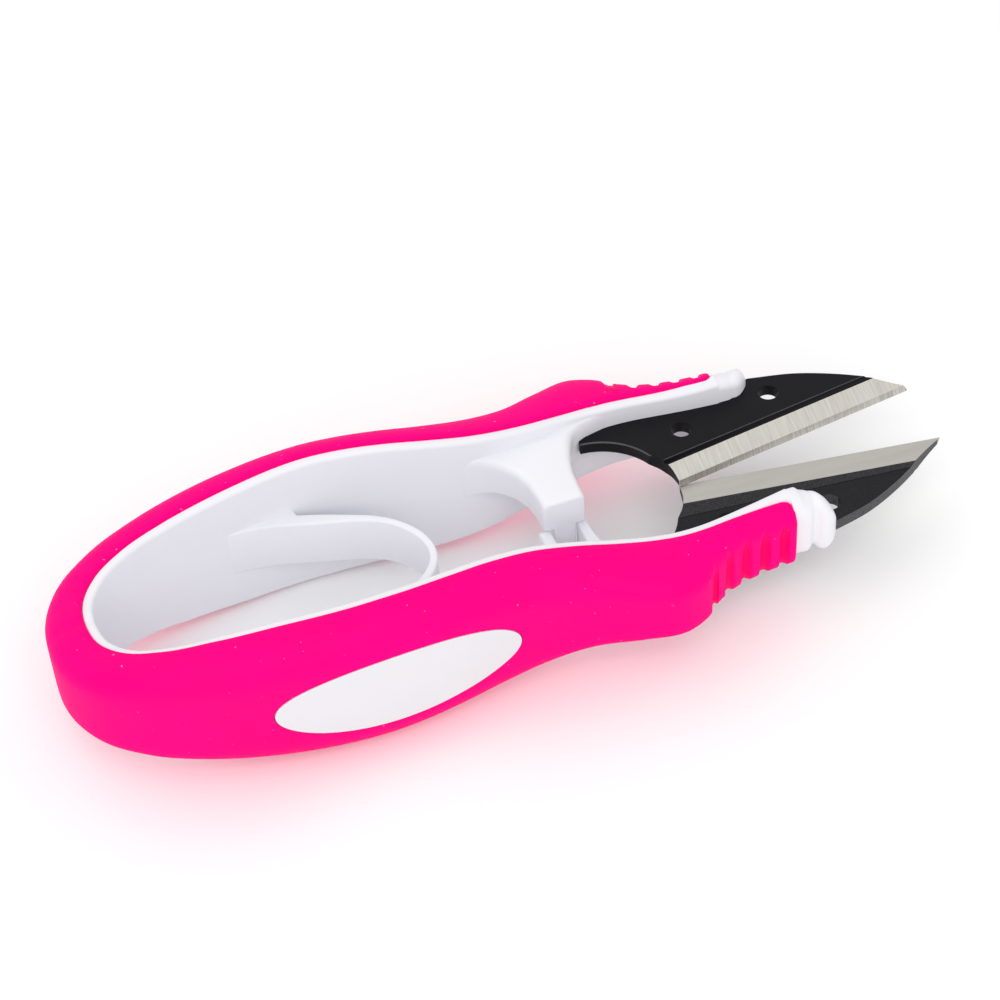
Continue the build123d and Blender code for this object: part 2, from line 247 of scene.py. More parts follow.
HALF_HEIGHTS = [   # of the rim above the middle plane
    7.05, 7.15, 7.55, 8.4, 9.4, 10.4, 11.0, 10.87, 10.42, 9.69, 8.73, 7.61, 6.52, 5.79, 5.5,
    5.34, 5.28, 5.33, 5.5, 5.8,
]
HEIGHT_SPACING = 6.0     # the heights are smoothed as a line with this step
ARM_STEPS = 6            # rings between two stations of the bow and the arm
FRONT_SPAN = 13          # from this span on they lie closer together, for the grooves
FRONT_STEPS = 14
RIM_LIP = 0.45           # rubber above the rim
RIM_GAP = 0.03           # between the rubber and the frame
LIP_ROUNDING = [(0.0, 0.35), (0.07, 0.12)]   # across from the gap, and below the lip
LIP_WIDTH = 0.25
UPRIGHT_SHARE = 0.5      # of the grip's half height; the rest of it is rounded over
GROOVE_COUNT = 5
GROOVE_FIRST = 22.3
GROOVE_PITCH = 2.9
GROOVE_RADIUS = 0.75
GROOVE_DEPTH = 0.7
GROOVE_BOW = 14.0        # the run-out curve at one end of each groove
GROOVE_ROOM = 15.0       # the grooves lie further out than this
GROOVE_FADE_START = 0.35   # they fade in over these shares of the grip's width
GROOVE_FADE_LENGTH = 0.3
FRONT_ROUNDING = 0.5     # at the grip's front end
FRONT_DRAW_IN = 0.8      # shares of that rounding, across and down
FRONT_DRAW_DOWN = 0.5
FRONT_CORNER = 1.5       # in plan, where the rubber ends beside the rim
FRONT_FALL = 0.8         # how far the rubber drops below the rim at its front
FALL_START, FALL_LENGTH, FALL_POWER = 26.0, 9.8, 1.5
OVER_STEPS = 13          # points over the grip's rounded edge
SIDE_STEPS = 6           # points down its side, to the middle
SHARP_GRIP = 50.0        # edges that turn by more than this stay sharp
SHARP_PLASTIC = 40.0


def smooth_line(points, spans):
    """Points of a smooth line through the given ones, with so many steps in each span."""
    knots = [Vector(point) for point in points]
    gaps = [(b - a).length for a, b in zip(knots, knots[1:])]
    slopes = [(b - a) / gap for a, b, gap in zip(knots, knots[1:], gaps)]
    pulls = [slopes[0]]
    for index in range(1, len(gaps)):
        before, after = gaps[index - 1], gaps[index]
        pulls.append((slopes[index - 1] * after + slopes[index] * before) / (before + after))
    pulls.append(slopes[-1])
    line = []
    for index, steps in enumerate(spans):
        for step in range(steps):
            t = step / steps
            line.append(
                knots[index] * (2 * t**3 - 3 * t**2 + 1)
                + pulls[index] * gaps[index] * (t**3 - 2 * t**2 + t)
                + knots[index + 1] * (3 * t**2 - 2 * t**3)
                + pulls[index + 1] * gaps[index] * (t**3 - t**2)
            )
    return line + [knots[-1]]


def handle_line(points):
    """The smooth line of one arm with the bow's back drawn on past the middle, then cut."""
    first = Vector(points[1])
    front_spans = len(points) - 1 - FRONT_SPAN
    spans = [ARM_STEPS] * (1 + FRONT_SPAN) + [FRONT_STEPS] * front_spans
    drawn = smooth_line([(first.x, -first.y)] + list(points), spans)
    return drawn[ARM_STEPS:]


rim_line = handle_line(RIM_STATIONS)
grip_line = handle_line(GRIP_STATIONS)
height_points = [(index * HEIGHT_SPACING, height) for index, height in enumerate(HALF_HEIGHTS)]
heights = [point.y for point in handle_line(height_points)]


def groove_depth(x, z):
    """How deep the finger grooves are cut at x and at a height from the middle."""
    rise = GROOVE_BOW - math.sqrt(GROOVE_BOW**2 - min(z, 0.0) ** 2)
    deepest = 0.0
    for index in range(GROOVE_COUNT):
        away = x - GROOVE_FIRST - index * GROOVE_PITCH
        if abs(away) < GROOVE_RADIUS:
            side_rise = GROOVE_RADIUS - math.sqrt(GROOVE_RADIUS**2 - away**2)
            deepest = max(deepest, GROOVE_DEPTH - rise - side_rise)
    return deepest


def round_off(left, radius):
    """How far a quarter round has drawn in, at a distance from the end that it rounds."""
    if left >= radius:
        return 0.0
    return radius - math.sqrt(radius**2 - (radius - left) ** 2)


def grip_section(index):
    """The rubber's start beside the rim, its width, its upright and corner, and its lip."""
    rim, side = rim_line[index], grip_line[index]
    left = grip_line[-1].x - side.x
    drop = round_off(left, FRONT_ROUNDING)
    start = RIM_GAP + round_off(left, FRONT_CORNER)
    width = (side - rim).length - FRONT_DRAW_IN * drop
    fall = FRONT_FALL * max(0.0, (side.x - FALL_START) / FALL_LENGTH) ** FALL_POWER
    height = heights[index] + RIM_LIP - fall - FRONT_DRAW_DOWN * drop
    upright = UPRIGHT_SHARE * height
    corner = height - upright
    lip = math.sqrt(1 - (start / width) ** 2) * corner + upright
    return start, width, upright, corner, lip


def grip_ring(index):
    """Points round the rubber at one station, from the rim's top over the side and back."""
    rim, side = rim_line[index], grip_line[index]
    outward = (side - rim).normalized()
    start, width, upright, corner, lip = grip_section(index)
    profile = [(start, 0.0)] + [(start + out, lip - below) for out, below in LIP_ROUNDING]
    first_turn = math.degrees(math.acos(min(1.0, (start + LIP_WIDTH) / width)))
    for step in range(OVER_STEPS):
        turn = math.radians(first_turn * (1 - step / OVER_STEPS))
        profile.append((width * math.cos(turn), upright + corner * math.sin(turn)))
    profile += [(width, upright * step / SIDE_STEPS) for step in range(SIDE_STEPS - 1, 0, -1)]
    ring = []
    whole = profile + [(width, 0.0)] + [(out, -z) for out, z in reversed(profile[1:])]
    for out, z in whole:
        fade = min(1.0, max(0.0, out / width - GROOVE_FADE_START) / GROOVE_FADE_LENGTH)
        place = rim + outward * (out - groove_depth(side.x, z) * fade)
        ring.append(Vector((place.x, place.y, z)))
    return ring


def banded(form, rings):
    """Skins a row of closed rings: the first is drawn, and each next one is extruded to."""
    first = bmesh.ops.create_circle(form, segments=len(rings[0]), radius=1.0)["verts"]
    ring = list(first)
    edges = [form.edges.get((a, b)) for a, b in zip(ring, ring[1:] + ring[:1])]
    bmesh.ops.contextual_create(form, geom=edges)
    for vert, place in zip(ring, rings[0]):
        vert.co = place
    for places in rings[1:]:
        grown = bmesh.ops.extrude_edge_only(form, edges=edges)["geom"]
        partner = {}
        new_verts = [item for item in grown if isinstance(item, bmesh.types.BMVert)]
        for vert in new_verts:
            for edge in vert.link_edges:
                other = edge.other_vert(vert)
                if other in ring:
                    partner[other] = vert
        ring = [partner[vert] for vert in ring]
        edges = [form.edges.get((a, b)) for a, b in zip(ring, ring[1:] + ring[:1])]
        for vert, place in zip(ring, places):
            vert.co = place
    bmesh.ops.contextual_create(form, geom=edges)


def piece(form, name, finish, sharp=SHARP_PLASTIC):
    """Makes a scene object from a form drawn in millimetres about the middle plane."""
    bmesh.ops.recalc_face_normals(form, faces=form.faces)
    form.transform(Matrix.Translation((0, 0, MIDDLE * MM)) @ Matrix.Scale(MM, 4))
    mesh = bpy.data.meshes.new(name)
    form.to_mesh(mesh)
    form.free()
    mesh.shade_smooth()
    mesh.set_sharp_from_angle(angle=math.radians(sharp))
    mesh.materials.append(finish.material)
    made = bpy.data.objects.new(name, mesh)
    bpy.context.collection.objects.link(made)
    return made


def both_arms(rings):
    """The far arm's rings, front to back, and then the near arm's: the far one's turned over."""
    near = []
    for ring in rings:
        turned = [ring[-index] for index in range(len(ring))]
        near.append([Vector((point.x, -point.y, -point.z)) for point in turned])
    return list(reversed(rings)) + near[1:]


pink = Finish("soft_pink", Specular_IOR_Level=0.04)
pink_place = pink.place()
cloudy = pink.noise(pink_place, 0.08, 3.0)
body_pink = pink.mix(cloudy, (1.0, 0.0, 0.195, 1.0), (1.0, 0.0, 0.25, 1.0))
# The grooves are painted a darker pink by their depth: painted shade in the recesses.
groove_shade_share = pink.spread(pink.attribute("groove_shade_depth"), 0.1, 0.5)
pink_with_groove_shade = pink.mix(groove_shade_share, body_pink, (0.98, 0.0, 0.165, 1.0))
dust = pink.spread(pink.noise(pink_place, 2.4, 0.0), 0.85, 0.88)
pink.set("Base Color", pink.mix(0.35 * dust, pink_with_groove_shade, (1.0, 0.45, 0.62, 1.0)))
pink.set("Roughness", pink.spread(cloudy, 0.3, 0.7, 0.50, 0.60))
pink.bump(pink.noise(pink_place, 9.0, 3.0, 0.6), 0.2, 0.02)

grip_form = bmesh.new()
banded(grip_form, both_arms([grip_ring(index) for index in range(len(rim_line))]))
# Groove depth at each point, used only to paint shade into the grooves.
groove_shade_depth = grip_form.verts.layers.float.new("groove_shade_depth")
for vert in grip_form.verts:
    if abs(vert.co.y) > GROOVE_ROOM:
        turned_z = math.copysign(vert.co.z, vert.co.y * vert.co.z)
        vert[groove_shade_depth] = groove_depth(vert.co.x, turned_z)
grip = piece(grip_form, "grip_skin", pink, SHARP_GRIP)
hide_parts("far_grip", "near_grip")

# ---- Frame ---------------------------------------------------------------------------------
# The rigid white plastic bow and arms, an upright wall that grows thicker toward the noses.
# Its edge shows as a narrow rim round the finger space, and it holds the leaf, the guide and
# the blades. On the real snips the bow bends with the rubber cast round it; here the frame is one
# fixed piece.
WALL = 1.35
FRONT_WALL = 1.9
THICKER_START, THICKER_LENGTH = 22.0, 13.8
RIM_EDGE = 0.6
RIM_EDGE_STEPS = 4
SHOULDER_DROP = 0.2      # the rim's outer corner stays this far below the rubber's lip
CHAMFER = 0.1


def frame_ring(index):
    """Rounded upright section of the wall at one station."""
    rim, side = rim_line[index], grip_line[index]
    outward = (side - rim).normalized()
    height = heights[index]
    near_front = max(0.0, (rim.x - THICKER_START) / THICKER_LENGTH)
    thick = WALL + (FRONT_WALL - WALL) * near_front**2
    inner_edge = RIM_EDGE - thick
    top = []
    for step in range(RIM_EDGE_STEPS + 1):
        turn = math.radians(90 * step / RIM_EDGE_STEPS)
        top.append(
            (inner_edge - RIM_EDGE * math.sin(turn), height - RIM_EDGE * (1 - math.cos(turn)))
        )
    reach = round_off(grip_line[-1].x - side.x, FRONT_CORNER)
    lip = grip_section(index)[-1]
    shoulder = min(height - CHAMFER, lip - SHOULDER_DROP)
    shelf = max(reach - (height - shoulder), inner_edge + CHAMFER)
    outer = [(reach, 0.0), (reach, shoulder), (shelf, height)]
    half = outer + top + [(-thick, height * 0.5), (-thick, 0.0)]
    ring = []
    for out, z in half + [(out, -z) for out, z in reversed(half[1:-1])]:
        place = rim + outward * out
        ring.append(Vector((place.x, place.y, z)))
    return ring


white = Finish("white_plastic", Specular_IOR_Level=0.25)
white_place = white.place()
milky = white.noise(white_place, 0.12, 2.0)
white.set("Base Color", white.mix(milky, (0.845, 0.845, 0.895, 1.0), (0.87, 0.87, 0.91, 1.0)))
white.set("Roughness", white.spread(white.noise(white_place, 0.6, 4.0), 0.3, 0.7, 0.32, 0.42))
white.bump(white.noise(white_place, 1.2, 1.0), 0.05, 0.02)

frame_form = bmesh.new()
banded(frame_form, both_arms([frame_ring(index) for index in range(len(rim_line))]))
bow_frame = piece(frame_form, "bow_frame", white)
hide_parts("far_frame", "near_frame")
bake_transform(bow_frame)

# ---- Oval inlays ---------------------------------------------------------------------------
# A flat oval of hard white plastic let into the outer side of each arm, flush with the
# rubber, with a fine seam all round it.
OVAL_X = -21.0
OVAL_HALF_LENGTH = 16.9
OVAL_HALF_HEIGHT = 6.1
SEAM = 0.12
PLUG_DEPTH = 30.0
PLUG_Y = 29.5            # so the plug goes 5 mm into the rubber's side


def oval_plug(name, half_length, half_height, side):
    """Upright oval block that passes through one arm's rubber; side is 1 for the far arm."""
    plug = bmesh.new()
    bmesh.ops.create_cone(
        plug,
        cap_ends=True,
        segments=96,
        radius1=1.0,
        radius2=1.0,
        depth=PLUG_DEPTH,
    )
    bmesh.ops.scale(plug, vec=(half_length, half_height, 1.0), verts=plug.verts)
    bmesh.ops.rotate(plug, matrix=Matrix.Rotation(math.radians(90), 3, "X"), verts=plug.verts)
    bmesh.ops.translate(plug, vec=(OVAL_X, side * PLUG_Y, 0.0), verts=plug.verts)
    return piece(plug, name, pink)


def cut(body, tool, operation):
    """Applies a cut with one tool and removes the tool."""
    step = body.modifiers.new("cut", "BOOLEAN")
    step.operation = operation
    step.object = tool
    step.solver = "EXACT"
    bpy.context.view_layer.update()
    ready = body.evaluated_get(bpy.context.evaluated_depsgraph_get())
    cut_mesh = bpy.data.meshes.new_from_object(ready)
    body.modifiers.clear()
    body.data = cut_mesh
    bpy.data.objects.remove(tool)


satin = Finish("white_inlay", Specular_IOR_Level=0.25)
satin_place = satin.place()
satin_cloud = satin.noise(satin_place, 0.10, 2.0)
satin.set("Base Color", satin.mix(satin_cloud, (0.77, 0.77, 0.80, 1.0), (0.80, 0.80, 0.825, 1.0)))
satin.set("Roughness", satin.spread(satin.noise(satin_place, 1.5, 3.0), 0.3, 0.7, 0.38, 0.46))
satin.bump(satin.noise(satin_place, 7.0, 2.0), 0.12, 0.02)

for arm, side in (("far", 1), ("near", -1)):
    inlay = bpy.data.objects.new(arm + "_inlay", grip.data.copy())
    bpy.context.collection.objects.link(inlay)
    small = oval_plug("plug", OVAL_HALF_LENGTH - SEAM, OVAL_HALF_HEIGHT - SEAM, side)
    cut(inlay, small, "INTERSECT")
    inlay.data.materials.clear()
    inlay.data.materials.append(satin.material)
    inlay.data.set_sharp_from_angle(angle=math.radians(SHARP_PLASTIC))
    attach(inlay, arm + "_arm")
    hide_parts(arm + "_oval_inlay")
for side in (1, -1):
    cut(grip, oval_plug("window", OVAL_HALF_LENGTH, OVAL_HALF_HEIGHT, side), "DIFFERENCE")
grip.data.set_sharp_from_angle(angle=math.radians(SHARP_GRIP))
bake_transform(grip)

# ---- Spring leaf ---------------------------------------------------------------------------
# A bent white plastic leaf, moulded with the frame. It leaves each arm at a small step and
# runs round inside the bow; on the real snips squeezing the arms closes its bend, and it opens
# them again. Here it is one fixed piece.
LEAF_TOP = 3.4
LEAF_BOTTOM = -4.2
LEAF_ROOT_OUTER = [
    (-36.8, 12.3), (-35.0, 12.5), (-32.6, 12.75), (-30.4, 12.95), (-28.4, 13.15), (-25.65, 13.3),
]
LEAF_ROOT_INNER = [
    (-36.8, 12.0), (-35.0, 11.72), (-32.6, 11.55), (-30.4, 11.3), (-28.4, 10.85), (-25.9, 10.05),
]
LEAF_OUTER = [
    (-25.3, 11.95), (-22.5, 10.95), (-18.7, 9.3), (-15.8, 7.9), (-13.45, 6.2), (-11.7, 4.2),
    (-10.6, 2.3), (-10.05, 0.4), (-9.95, -1.3), (-10.35, -3.1), (-11.4, -4.9), (-13.3, -6.6),
    (-16.1, -8.1), (-19.2, -9.6), (-22.3, -10.9), (-25.3, -11.95),
]
LEAF_INNER = [
    (-25.6, 9.95), (-23.1, 9.15), (-19.0, 7.95), (-16.2, 6.8), (-14.1, 5.4), (-12.6, 3.6),
    (-11.6, 1.9), (-11.1, 0.3), (-11.0, -1.1), (-11.35, -2.7), (-12.3, -4.2), (-14.0, -5.7),
    (-16.6, -7.2), (-19.6, -8.6), (-22.8, -9.65), (-25.5, -10.6),
]
LEAF_EDGE = 0.3
LEAF_EDGE_SHARE = 0.45   # where the leaf is thin, its rounding is at most this much of it
LEAF_ROOT_STEPS = 4
LEAF_BEND_STEPS = 6


def rounded_ring(low, high, bottom, top, radii, steps=5):
    """Rounded rectangle as pairs across and up; radii go round from the high top corner."""
    ring = []
    corners = ((1, 1), (0, 1), (0, 0), (1, 0))
    for corner, ((far_side, upper), radius) in enumerate(zip(corners, radii)):
        for step in range(steps + 1):
            turn = math.radians(90 * (corner + step / steps))
            across = (high - radius if far_side else low + radius) + radius * math.cos(turn)
            height = (top - radius if upper else bottom + radius) + radius * math.sin(turn)
            ring.append((across, height))
    return ring


def leaf_ring(inner, outer):
    """Rounded section of the upright strip between an inner and an outer point."""
    across = outer - inner
    width = across.length
    across = across.normalized()
    edge = min(LEAF_EDGE, LEAF_EDGE_SHARE * width)
    ring = []
    for out, z in rounded_ring(0.0, width, LEAF_BOTTOM, LEAF_TOP, [edge] * 4, 3):
        place = inner + across * out
        ring.append(Vector((place.x, place.y, z)))
    return ring


root_steps = [LEAF_ROOT_STEPS] * (len(LEAF_ROOT_OUTER) - 1)
bend_steps = [LEAF_BEND_STEPS] * (len(LEAF_OUTER) - 1)
outer_line = smooth_line(LEAF_ROOT_OUTER, root_steps) + smooth_line(LEAF_OUTER, bend_steps)
inner_line = smooth_line(LEAF_ROOT_INNER, root_steps) + smooth_line(LEAF_INNER, bend_steps)
leaf_rings = [leaf_ring(inner, outer) for inner, outer in zip(inner_line, outer_line)]
root_count = sum(root_steps) + 1
leaf_rings += [
    [Vector((point.x, -point.y, point.z)) for point in ring]
    for ring in reversed(leaf_rings[:root_count])
]
leaf_form = bmesh.new()
banded(leaf_form, leaf_rings)
leaf = piece(leaf_form, "leaf_spring", white)
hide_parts("spring_leaf")
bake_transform(leaf)

# ---- Guide ---------------------------------------------------------------------------------
# White plastic, moulded with the frame. A bracket on the far arm has a leg below it, and the
# leg runs between two ears on the near arm, so the blades stay flat on each other.
GUIDE_END = -1.5
GUIDE_END_ROUNDING = 0.7
GUIDE_END_STEPS = 6
GUIDE_END_INSET = 0.6    # how much of that rounding the sides and the top take
BRACKET_LOWER_ROUNDING = 0.1
# y, back x, front x, top, bottom, corner rounding
BRACKET_STATIONS = [
    (12.9, -3.0, 21.5, 5.0, -1.8, 1.5), (12.4, -3.0, 18.6, 5.05, -1.7, 1.5),
    (11.9, -3.0, 16.2, 5.1, -1.5, 1.5), (11.2, -2.9, 14.7, 5.2, -1.3, 1.5),
    (10.6, -2.4, 14.1, 5.3, -1.1, 1.5), (10.4, -1.4, 13.95, 5.35, -0.95, 1.5),
    (10.15, -0.4, 13.8, 5.35, -0.8, 1.45), (9.8, 0.5, 13.6, 5.35, -0.65, 1.45),
    (9.2, 1.5, 13.25, 5.37, -0.4, 1.4),
    (8.0, 2.6, 12.75, 5.37, -0.05, 1.2), (6.0, 4.0, 12.0, 5.35, 0.2, 1.1),
    (3.5, 4.85, 11.45, 5.35, 0.4, 1.0), (1.0, 5.1, 11.25, 5.35, 0.55, 0.9),
    (-0.5, 5.15, 11.2, 5.35, 0.6, 0.9),
]
LEG_BACK = 6.55
LEG_FRONT = 9.65
LEG_TOP = 1.6
LEG_BOTTOM = -4.0
LEG_ROOT_Y = 11.6
LEG_END = GUIDE_END + 0.005   # a hair short of the bracket's end
LEG_ROUNDING = 0.2
EAR_TOP = 0.2
EAR_BOTTOM = -4.5
EAR_END = -1.0
EAR_ROUNDING = 0.25
BACK_EAR = [(4.5, -11.2), (4.5, EAR_END), (6.1, EAR_END), (6.1, -10.0)]
FRONT_EAR = [
    (9.9, -10.0), (9.9, EAR_END), (11.3, EAR_END), (11.45, -4.0), (12.3, -8.5), (14.3, -12.4),
]


def slab(outline, low, high):
    """Upright-sided block on a plan outline."""
    form = bmesh.new()
    base = bmesh.ops.create_circle(form, cap_ends=True, segments=len(outline), radius=1.0)
    for vert, (x, y) in zip(base["verts"], outline):
        vert.co = (x, y, low)
    grown = bmesh.ops.extrude_face_region(form, geom=form.faces[:])["geom"]
    raised = [item for item in grown if isinstance(item, bmesh.types.BMVert)]
    bmesh.ops.translate(form, vec=(0, 0, high - low), verts=raised)
    bmesh.ops.recalc_face_normals(form, faces=form.faces)
    return form


def rounded(form, edges, radius, steps):
    """Rounds the given edges."""
    bmesh.ops.bevel(
        form,
        geom=edges,
        offset=radius,
        offset_type="OFFSET",
        affect="EDGES",
        segments=steps,
        profile=0.5,
        material=-1,
        clamp_overlap=True,
    )


def bracket_ring(y, back_x, front_x, top, bottom, rounding, inset=0.0):
    """Upright section of the bracket, drawn in by the inset on three sides."""
    radii = (rounding, rounding, BRACKET_LOWER_ROUNDING, BRACKET_LOWER_ROUNDING)
    pairs = rounded_ring(back_x + inset, front_x - inset, bottom, top - inset, radii)
    return [Vector((x, y, z)) for x, z in pairs]


bracket_rings = [bracket_ring(*station) for station in BRACKET_STATIONS]
last_section = BRACKET_STATIONS[-1][1:]
for step in range(1, GUIDE_END_STEPS + 1):
    turn = math.radians(90 * step / GUIDE_END_STEPS)
    end_y = GUIDE_END + GUIDE_END_ROUNDING * (1 - math.sin(turn))
    inset = GUIDE_END_INSET * GUIDE_END_ROUNDING * (1 - math.cos(turn))
    bracket_rings.append(bracket_ring(end_y, *last_section, inset=inset))
bracket_form = bmesh.new()
banded(bracket_form, bracket_rings)
bracket = piece(bracket_form, "guide_bracket", white)
leg_outline = [
    (LEG_BACK, LEG_ROOT_Y), (LEG_BACK, LEG_END), (LEG_FRONT, LEG_END), (LEG_FRONT, LEG_ROOT_Y),
]
leg_form = slab(leg_outline, LEG_BOTTOM, LEG_TOP)
leg_corners = [
    edge
    for edge in leg_form.edges
    if all(vert.co.y < 0 for vert in edge.verts)
    and abs(edge.verts[0].co.z - edge.verts[1].co.z) > 1
]
rounded(leg_form, leg_corners, LEG_ROUNDING, 3)
cut(bracket, piece(leg_form, "leg", white), "UNION")
bracket.data.set_sharp_from_angle(angle=math.radians(SHARP_PLASTIC))
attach(bracket, "far_arm")
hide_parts("guide_tongue")

ears_form = slab(BACK_EAR + FRONT_EAR, EAR_BOTTOM, EAR_TOP)
ear_tops = [
    edge for edge in ears_form.edges if all(abs(vert.co.z - EAR_TOP) < 1e-4 for vert in edge.verts)
]
rounded(ears_form, ear_tops, EAR_ROUNDING, 3)
ears = piece(ears_form, "guide_ears", white)
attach(ears, "near_arm")
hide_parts("guide_channel")

# ---- Noses ---------------------------------------------------------------------------------
# The white end of each arm, moulded with the frame: a body in front of the rubber, a narrow
# neck and a rounded flange that a push-on cap snaps over. The near one ends a little further
# on. The blade comes out through the flange.
NOSE_ROOT = [(34.6, 11.0, 13.4, -5.2, 4.6, 0.8, 1.2), (35.6, 11.0, 13.4, -5.2, 4.6, 0.8, 1.2)]
# x, inner, outer, bottom, top, rounding on the inner side and on the outer side
FAR_NOSE = NOSE_ROOT + [
    (35.7, 11.0, 14.9, -5.6, 5.3, 0.9, 2.2), (37.4, 11.0, 14.85, -5.6, 5.3, 1.2, 2.2),
    (37.75, 11.1, 14.75, -5.3, 5.15, 1.2, 2.1), (38.05, 11.15, 14.65, -5.0, 5.05, 1.2, 2.0),
    (38.3, 11.15, 14.7, -5.0, 5.05, 1.2, 2.0), (38.6, 11.15, 14.85, -5.0, 5.15, 1.3, 2.1),
    (39.2, 11.35, 14.9, -4.9, 5.1, 1.5, 2.0), (39.8, 11.8, 14.85, -4.7, 4.9, 1.4, 1.6),
    (40.3, 12.3, 14.7, -4.3, 4.4, 1.15, 1.2), (40.65, 12.75, 14.5, -3.7, 3.8, 0.85, 0.85),
    (40.85, 13.1, 14.2, -3.0, 3.1, 0.5, 0.5),
]
NEAR_NOSE = NOSE_ROOT + [
    (35.7, 10.95, 14.9, -5.8, 4.9, 0.7, 2.6), (36.9, 10.95, 14.85, -5.8, 4.9, 0.7, 2.6),
    (37.2, 10.97, 14.85, -5.65, 4.9, 0.8, 2.5), (37.5, 11.05, 14.85, -5.35, 4.9, 0.9, 2.4),
    (38.1, 11.05, 14.8, -5.1, 4.9, 1.0, 2.3), (38.4, 11.05, 14.6, -5.0, 4.7, 1.1, 2.2),
    (38.6, 11.1, 14.35, -4.95, 4.45, 1.2, 2.0), (38.8, 11.15, 14.2, -4.85, 4.25, 1.2, 1.9),
    (39.1, 11.2, 14.15, -4.8, 4.2, 1.2, 1.8), (39.35, 11.25, 14.3, -4.8, 4.35, 1.3, 1.75),
    (39.6, 11.25, 14.6, -4.75, 4.65, 1.45, 1.85), (39.95, 11.3, 14.85, -4.6, 4.9, 1.65, 1.85),
    (40.4, 11.4, 14.9, -4.2, 5.0, 1.7, 1.75), (40.9, 11.65, 14.85, -3.6, 4.85, 1.55, 1.6),
    (41.4, 12.0, 14.7, -2.8, 4.4, 1.3, 1.35), (41.8, 12.35, 14.45, -1.9, 3.8, 1.05, 1.05),
    (42.15, 12.7, 14.1, -0.9, 3.0, 0.65, 0.65),
]


def nose_form(stations):
    """A body, a neck and a flange in one skin, on the far arm's side."""
    rings = []
    for x, inner, outer, bottom, top, inner_radius, outer_radius in stations:
        radii = (outer_radius, inner_radius, inner_radius, outer_radius)
        pairs = rounded_ring(inner, outer, bottom, top, radii)
        rings.append([Vector((x, y, z)) for y, z in pairs])
    form = bmesh.new()
    banded(form, rings)
    return form


for arm, stations, turned in (("far", FAR_NOSE, 0.0), ("near", NEAR_NOSE, math.pi)):
    form = nose_form(stations)
    form.transform(Matrix.Rotation(turned, 4, "X"))
    nose = piece(form, arm + "_nose", white)
    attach(nose, arm + "_arm")
    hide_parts(arm + "_collar")

# ---- Blades --------------------------------------------------------------------------------
# Stamped steel with a black coating, cast into the arms. The outer face has a ground bevel
# along the cutting edge; the inner face has a polished land there and is hollow behind it.
# Two open holes go through each. Both blades are alike, and the near one is turned over.
BLADE_THICKNESS = 2.2
HALFWAY = 1.0            # a point above this is on the outer face
BLADE_GAP = 0.03
HEEL = Vector((25.4, -0.2))
TIP = Vector((62.0, 5.1))
SPINE = [(62.0, 5.1), (59.4, 6.45), (57.0, 7.85), (53.6, 9.85), (48.0, 12.4), (41.5, 14.0)]
TANG = [(36.6, 13.0), (30.0, 12.8), (24.0, 14.4), (18.0, 15.8), (15.4, 14.0)]
OPENING_CENTER = Vector((14.4, 1.3))
OPENING_RADIUS = 9.4
OPENING_START = 86.0     # the opening's arc, in degrees, from the tang to the heel
OPENING_SWEEP = 62.0
OPENING_STEPS = 22
HEEL_CURVE = [(22.99, 5.12), (24.25, 3.7), (24.95, 2.3), (25.4, -0.2)]
TAIL_EDGE = 0.16         # broken edge round the opening, which starts this far in
TAIL_EDGE_START = 4.5
HOLES = [(29.0, 8.1), (43.0, 10.25)]
HOLE_RADIUS = 1.43
HOLE_STEPS = 40
EDGE_FACE = 0.2          # steel left at the cutting edge
EDGE_STRIP = 0.3         # steep second bevel along the edge, and how high it reaches
EDGE_RISE = 0.95
BEVEL = 2.9              # how wide the bevel is, and how far its back stays below the face
BEVEL_DROP = 0.25
GROOVE_START = BEVEL + 0.05
GROOVE_MIDDLE = BEVEL + 0.45
GROOVE_END = GROOVE_MIDDLE + 0.35   # dark groove behind the bevel, deeper at the heel
GROOVE_DROP = 0.12
GROOVE_HEEL_DROP = 0.32
GROOVE_HIGHLIGHT_LINE = 0.14       # painted highlight line behind the groove
LAND = 3.5
HOLLOW = 0.4
SLOPE_TIP, SLOPE_HEEL = 0.4, 2.0   # width of the slope behind the land, at its two ends
RIDGE_LINE = 0.18
EDGE_BREAK = 0.08
SHARP_STEEL = 25.0
SLACK = 1e-3
FACING = 0.2             # a face whose normal's z passes this belongs to a flat side
SLOPING = 0.95           # and below this it slopes
SPINE_SHEEN_START = 40.0  # the spine's side is painted lighter in front of this: a painted reflection

edge_way = (TIP - HEEL).normalized()
edge_in = Vector((-edge_way.y, edge_way.x))
edge_length = (TIP - HEEL).length


def from_edge(place):
    """Distance in from the cutting edge, and along it from the heel."""
    reach = Vector((place[0], place[1])) - HEEL
    return reach.dot(edge_in), reach.dot(edge_way)


def hollow_start(along):
    """Where the slope behind the land ends: wide at the heel, narrow at the tip."""
    return LAND + SLOPE_TIP + (SLOPE_HEEL - SLOPE_TIP) * max(0.0, 1 - along / edge_length)


slope_heel = HEEL + edge_in * hollow_start(0.0)
slope_tip = HEEL + edge_in * hollow_start(edge_length) + edge_way * edge_length
slope_way = (slope_tip - slope_heel).normalized()
slope_in = Vector((-slope_way.y, slope_way.x))


def blade_outline():
    """Plan of the far blade: spine, tang, opening and heel, as one loop."""
    arc = []
    for step in range(OPENING_STEPS):
        turn = math.radians(OPENING_START - OPENING_SWEEP * step / OPENING_STEPS)
        arc.append(OPENING_CENTER + Vector((math.cos(turn), math.sin(turn))) * OPENING_RADIUS)
    spine = smooth_line(SPINE, [8] * (len(SPINE) - 1))
    tang = smooth_line(TANG, [4] * (len(TANG) - 1))
    heel = smooth_line(HEEL_CURVE, [4] * (len(HEEL_CURVE) - 1))[:-1]
    return [HEEL] + spine + tang + arc + heel


